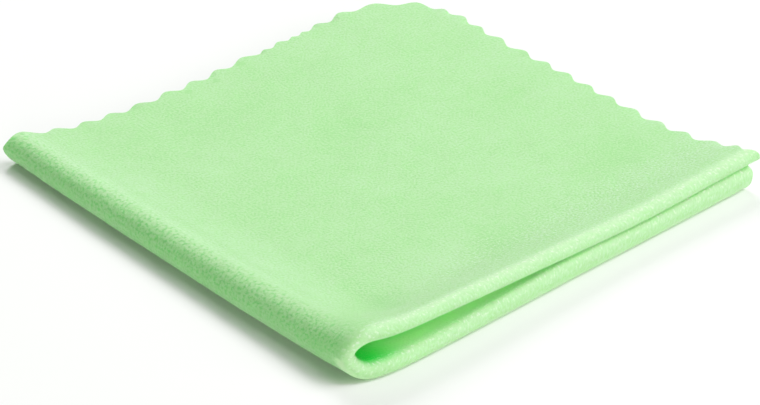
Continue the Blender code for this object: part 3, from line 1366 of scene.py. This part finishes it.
    def set_surface(self, shader: bpy.types.Node) -> None:
        """Set the numbers that are the same all over the cloth.

        Args:
            shader: The material's shader.
        """
        shader.inputs["Roughness"].default_value = self.roughness
        shader.inputs["Specular IOR Level"].default_value = self.shine
        shader.inputs["Sheen Weight"].default_value = self.sheen
        shader.inputs["Sheen Roughness"].default_value = self.sheen_roughness
        shader.inputs["Sheen Tint"].default_value = (*self.sheen_tint, 1.0)
        shader.inputs["Subsurface Weight"].default_value = self.glow
        shader.inputs["Subsurface Radius"].default_value = self.glow_depth
        shader.inputs["Subsurface Scale"].default_value = 1.0


@dataclass(frozen=True)
class FibreFinish:
    """The fibres of the nap: a little lighter and shinier than the knit, each with its own tint.

    Attributes:
        pale: Colour of the palest fibres.
        deep: Colour of the deepest ones.
        roughness: Their roughness.
        shine: Their shine.
    """

    pale: Colour = (0.47, 0.82, 0.41)
    deep: Colour = (0.37, 0.73, 0.32)
    roughness: float = 0.6
    shine: float = 0.35

    def make(self) -> bpy.types.Material:
        """Build the material.

        Returns:
            The finished material.
        """
        material, recipe, shader = new_material("microfibre_nap")
        tint = recipe.add("ShaderNodeAttribute", attribute_name=TINT).outputs["Fac"]
        colour = recipe.mix(tint, self.deep, self.pale)
        recipe.tree.links.new(colour, shader.inputs["Base Color"])
        shader.inputs["Roughness"].default_value = self.roughness
        shader.inputs["Specular IOR Level"].default_value = self.shine
        return material


class Draw(Enum):
    """What is drawn at random for each fibre, with what it adds to the nap's seed."""

    TINT = 5
    LENGTH = 7
    LEAN = 9


@dataclass(frozen=True)
class Nap:
    """Short fibres planted on one region of the cloth.

    Attributes:
        region: Where they stand.
        density: Fibres on a square metre.
        length: Length of the longest ones.
        shortest: Length of the shortest ones, as a share of that.
        thickness: Half the width of a fibre at its root.
        comb: How far they all lean together, patch by patch.
        patches: How many such patches a metre has.
        scatter: How far each one leans on its own.
        seed: Seed of their places and leans.
    """

    region: Region
    density: float
    length: float
    shortest: float = 0.45
    thickness: float = 0.012 * MM
    comb: float = 0.2
    patches: float = 260.0
    scatter: float = 1.3
    seed: int = 1

    def tree(self, material: bpy.types.Material) -> bpy.types.NodeTree:
        """Build the growth of the fibres.

        Args:
            material: The fibres' finish.

        Returns:
            A Geometry Nodes tree with named inputs for the sizes.
        """
        tree = bpy.data.node_groups.new(f"nap_{self.region.value}", "GeometryNodeTree")
        tree.interface.new_socket("Geometry", in_out="INPUT", socket_type="NodeSocketGeometry")
        for name in ("Density", "Length", "Thickness", "Comb", "Scatter"):
            tree.interface.new_socket(name, in_out="INPUT", socket_type="NodeSocketFloat")
        tree.interface.new_socket("Seed", in_out="INPUT", socket_type="NodeSocketInt")
        tree.interface.new_socket("Geometry", in_out="OUTPUT", socket_type="NodeSocketGeometry")
        recipe = Recipe(tree)
        sizes = recipe.add("NodeGroupInput").outputs
        points = recipe.add("GeometryNodeDistributePointsOnFaces", {
            "Mesh": sizes["Geometry"], "Density": sizes["Density"], "Seed": sizes["Seed"],
        })
        tinted = recipe.add("GeometryNodeStoreNamedAttribute", {
            "Geometry": points.outputs["Points"],
            "Name": TINT,
            "Value": self.random(recipe, Draw.TINT, 0.0, 1.0),
        }, data_type="FLOAT", domain="POINT")
        spike = recipe.add("GeometryNodeMeshCone", {
            "Vertices": 3, "Radius Top": 0.0, "Radius Bottom": 1.0, "Depth": 1.0,
        }, fill_type="NGON")
        turned = recipe.add("FunctionNodeAlignRotationToVector", {
            "Vector": self.lean(recipe, points.outputs["Normal"], sizes),
        }, axis="Z")
        share = self.random(recipe, Draw.LENGTH, self.shortest, 1.0)
        scale = recipe.add("ShaderNodeCombineXYZ", {
            0: sizes["Thickness"],
            1: sizes["Thickness"],
            2: recipe.math("MULTIPLY", sizes["Length"], share),
        })
        planted = recipe.add("GeometryNodeInstanceOnPoints", {
            "Points": tinted.outputs[0],
            "Instance": spike.outputs["Mesh"],
            "Rotation": turned.outputs[0],
            "Scale": scale.outputs[0],
        })
        real = recipe.add("GeometryNodeRealizeInstances", {"Geometry": planted.outputs[0]})
        dressed = recipe.add("GeometryNodeSetMaterial", {"Geometry": real.outputs[0], "Material": material})
        recipe.add("NodeGroupOutput", {"Geometry": dressed.outputs[0]})
        return tree

    def lean(self, recipe: Recipe, normal: bpy.types.NodeSocket, sizes: object) -> bpy.types.NodeSocket:
        """Direction of each fibre.

        Args:
            recipe: The tree's recipe.
            normal: The face's normal at the fibre.
            sizes: The tree's inputs.

        Returns:
            The sum of the normal, the comb of the fibre's patch and its own scatter.
        """
        position = recipe.add("GeometryNodeInputPosition").outputs[0]
        patch = recipe.noise(position, self.patches, 1.0).outputs["Color"]
        comb = recipe.vector_scale(recipe.vector_math("SUBTRACT", patch, (0.5,) * 3), sizes["Comb"])
        own = self.random(recipe, Draw.LEAN, (-0.5,) * 3, (0.5,) * 3)
        both = recipe.vector_math("ADD", comb, recipe.vector_scale(own, sizes["Scatter"]))
        return recipe.vector_math("ADD", normal, both)

    def random(self, recipe: Recipe, draw: Draw, low: object, high: object) -> bpy.types.NodeSocket:
        """Draw numbers or vectors at random, the same on every run.

        Args:
            recipe: The tree's recipe.
            draw: What is drawn.
            low: The lowest one, a number or a vector.
            high: The highest one.

        Returns:
            The output with what is drawn.
        """
        kind = "FLOAT_VECTOR" if isinstance(low, tuple) else "FLOAT"
        node = recipe.add("FunctionNodeRandomValue", data_type=kind)
        sockets = [socket for socket in node.inputs if socket.enabled]
        sockets[0].default_value, sockets[1].default_value = low, high
        node.inputs["Seed"].default_value = self.seed + draw.value
        return next(socket for socket in node.outputs if socket.enabled)

    def grow(self, sheet: ClothSheet, material: bpy.types.Material) -> bpy.types.Object:
        """Plant the fibres.

        Args:
            sheet: The folded cloth.
            material: The fibres' finish.

        Returns:
            All the region's fibres as one plain mesh.
        """
        ground = bpy.data.objects.new("planting", sheet.planting_mesh(self.region))
        bpy.context.scene.collection.objects.link(ground)
        modifier = ground.modifiers.new("nap", "NODES")
        modifier.node_group = self.tree(material)
        values = {
            "Density": self.density, "Length": self.length, "Thickness": self.thickness,
            "Comb": self.comb, "Scatter": self.scatter, "Seed": self.seed,
        }
        for socket in modifier.node_group.interface.items_tree:
            if socket.in_out == "INPUT" and socket.name in values:
                modifier[socket.identifier] = values[socket.name]
        evaluated = ground.evaluated_get(bpy.context.evaluated_depsgraph_get())
        mesh = bpy.data.meshes.new_from_object(evaluated)
        bpy.data.objects.remove(ground, do_unlink=True)
        mesh.name = f"nap_{self.region.value}"
        fibres = bpy.data.objects.new(mesh.name, mesh)
        bpy.context.scene.collection.objects.link(fibres)
        return fibres


def direction_of(azimuth: float, elevation: float) -> Vector:
    """Direction from its azimuth, in degrees from the -Y side towards +X, and its elevation."""
    turn, rise = math.radians(azimuth), math.radians(elevation)
    return Vector((math.sin(turn) * math.cos(rise), -math.cos(turn) * math.cos(rise), math.sin(rise)))


@dataclass(frozen=True)
class Lamp:
    """A soft square lamp.

    Attributes:
        name: Its name.
        azimuth: Where it hangs, in degrees from the -Y side towards +X.
        elevation: How high it hangs, in degrees.
        light: Brightness of a white card that faces it at the cloth, 1 being white.
        tint: Colour of its light.
        distance: Its distance from the cloth.
        width: Its width.
    """

    name: str
    azimuth: float
    elevation: float
    light: float
    tint: Colour = (1.0, 1.0, 1.0)
    distance: float = 1.2
    width: float = 0.5

    def hang(self, aim: Vector) -> None:
        """Hang the lamp so that it faces a place.

        Args:
            aim: The place.
        """
        data = bpy.data.lights.new(self.name, "AREA")
        data.shape = "SQUARE"
        data.size = self.width
        data.energy = self.light * (math.pi * self.distance) ** 2
        data.color = self.tint
        lamp = bpy.data.objects.new(self.name, data)
        bpy.context.scene.collection.objects.link(lamp)
        direction = direction_of(self.azimuth, self.elevation)
        lamp.location = aim + direction * self.distance
        lamp.rotation_euler = direction.to_track_quat("Z", "Y").to_euler()


@dataclass(frozen=True)
class Studio:
    """Pale floor, soft light and the photograph's camera.

    Attributes:
        floor_width: Width of the floor.
        floor_drop: How far it lies under the cloth.
        floor_colour: Its colour.
        floor_roughness: Its roughness.
        floor_shine: Its shine.
        sky: Brightness of the white sky.
        lamps: The lamps.
        tone: Brightness and how bright it is shown, for the points of the tone curve.
        camera_aim: What the camera looks at, from the corner between the cloth's two folds.
        camera_distance: How far it stands from there.
        camera_azimuth: From where it looks, in degrees from the -Y side towards +X.
        camera_elevation: From how high it looks, in degrees.
        camera_lens: Its focal length in mm.
        camera_sensor: Width of its sensor in mm.
        camera_clip: Nearest and farthest distance that it sees.
    """

    floor_width: float = 6.0
    floor_drop: float = 0.01 * MM
    floor_colour: Colour = (0.895, 0.905, 0.888)
    floor_roughness: float = 0.9
    floor_shine: float = 0.1
    sky: float = 0.03
    lamps: tuple[Lamp, ...] = (
        Lamp("key", azimuth=52.0, elevation=53.0, light=0.76, distance=2.0, width=0.8),
        Lamp("back", azimuth=150.0, elevation=45.0, light=0.70),
        Lamp("front_fill", azimuth=-42.0, elevation=14.0, light=0.38, tint=(0.94, 1.0, 0.89)),
        Lamp("lip_fill", azimuth=28.0, elevation=26.0, light=0.38, tint=(0.96, 1.0, 0.93)),
        Lamp("top", azimuth=0.0, elevation=90.0, light=0.20),
    )
    tone: tuple[tuple[float, float], ...] = (
        (0.5, 0.5), (0.75, 0.69), (1.0, 0.85), (1.15, 0.93), (1.3, 1.0),
    )
    camera_aim: Colour = (42.509 * MM, 41.596 * MM, 2.0 * MM)
    camera_distance: float = 669.6 * MM
    camera_azimuth: float = -41.96
    camera_elevation: float = 32.70
    camera_lens: float = 168.27
    camera_sensor: float = 36.0
    camera_clip: tuple[float, float] = (0.01, 100.0)

    def lay_floor(self) -> None:
        """Lay the floor just under the cloth."""
        half, drop = self.floor_width / 2.0, -self.floor_drop
        corners = [(-half, -half, drop), (half, -half, drop), (half, half, drop), (-half, half, drop)]
        mesh = bpy.data.meshes.new("floor")
        mesh.from_pydata(corners, [], [(0, 1, 2, 3)])
        material, _, shader = new_material("floor")
        shader.inputs["Base Color"].default_value = (*self.floor_colour, 1.0)
        shader.inputs["Roughness"].default_value = self.floor_roughness
        shader.inputs["Specular IOR Level"].default_value = self.floor_shine
        mesh.materials.append(material)
        floor = bpy.data.objects.new("floor", mesh)
        bpy.context.scene.collection.objects.link(floor)

    def light(self) -> None:
        """Light the scene with a plain sky and the lamps."""
        world = bpy.data.worlds.new("studio")
        world.use_nodes = True
        background = world.node_tree.nodes["Background"]
        background.inputs["Color"].default_value = (1.0, 1.0, 1.0, 1.0)
        background.inputs["Strength"].default_value = self.sky
        bpy.context.scene.world = world
        for lamp in self.lamps:
            lamp.hang(Vector((0.0, 0.0, 0.0)))

    def set_tone(self) -> None:
        """Let the brightest tones roll off softly towards white, as in the photograph."""
        view = bpy.context.scene.view_settings
        view.view_transform = "Standard"
        view.use_curve_mapping = True
        mapping = view.curve_mapping
        white = self.tone[-1][0]
        mapping.white_level = (white, white, white)
        curve = mapping.curves[ALL_COLOURS]
        curve.points[-1].location = (1.0, 1.0)
        for brightness, shown in self.tone[:-1]:
            curve.points.new(brightness / white, shown)
        for point in curve.points:
            point.handle_type = "VECTOR"
        mapping.update()

    def set_camera(self, corner: Vector) -> None:
        """Stand the camera where the photograph was taken from.

        Args:
            corner: The corner between the cloth's two folds, from which its aim is measured.
        """
        data = bpy.data.cameras.new("camera")
        data.sensor_width = self.camera_sensor
        data.lens = self.camera_lens
        data.clip_start, data.clip_end = self.camera_clip
        camera = bpy.data.objects.new("camera", data)
        bpy.context.scene.collection.objects.link(camera)
        back = direction_of(self.camera_azimuth, self.camera_elevation)
        camera.location = corner + Vector(self.camera_aim) + back * self.camera_distance
        camera.rotation_euler = back.to_track_quat("Z", "Y").to_euler()
        bpy.context.scene.camera = camera


NAPS = (
    Nap(Region.TOP_NEAR, density=10.0e6, length=0.16 * MM, seed=101),
    Nap(Region.TOP_FAR, density=9.0e6, length=0.16 * MM, seed=202),
    Nap(Region.LONG_FOLD, density=18.0e6, length=0.22 * MM, seed=303),
    Nap(Region.LIPS, density=16.0e6, length=0.3 * MM, seed=404),
    Nap(Region.POCKET, density=2.0e6, length=0.3 * MM, seed=505),
    Nap(Region.CUT_EDGE, density=16.0e6, length=0.25 * MM, seed=606),
)


def report(piece: bpy.types.Object) -> None:
    """Log a piece's name and its triangles."""
    piece.data.calc_loop_triangles()
    log.info("%s: %d triangles", piece.name, len(piece.data.loop_triangles))


def main() -> None:
    """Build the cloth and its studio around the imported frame."""
    logging.basicConfig(level=logging.INFO, format="%(name)s: %(message)s", stream=sys.stdout)
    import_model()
    cloth = ClothSheet()
    studio = Studio()
    studio.set_camera(Vector(cloth.corner))
    studio.light()
    studio.set_tone()
    studio.lay_floor()

    sheet = cloth.build(KnitFinish().make())
    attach(sheet, BODY)
    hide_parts(CLOTH_NODE)
    report(sheet)

    fibre_material = FibreFinish().make()
    for nap in NAPS:
        piece = nap.grow(cloth, fibre_material)
        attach(piece, BODY)
        report(piece)


if __name__ == "__main__":
    main()
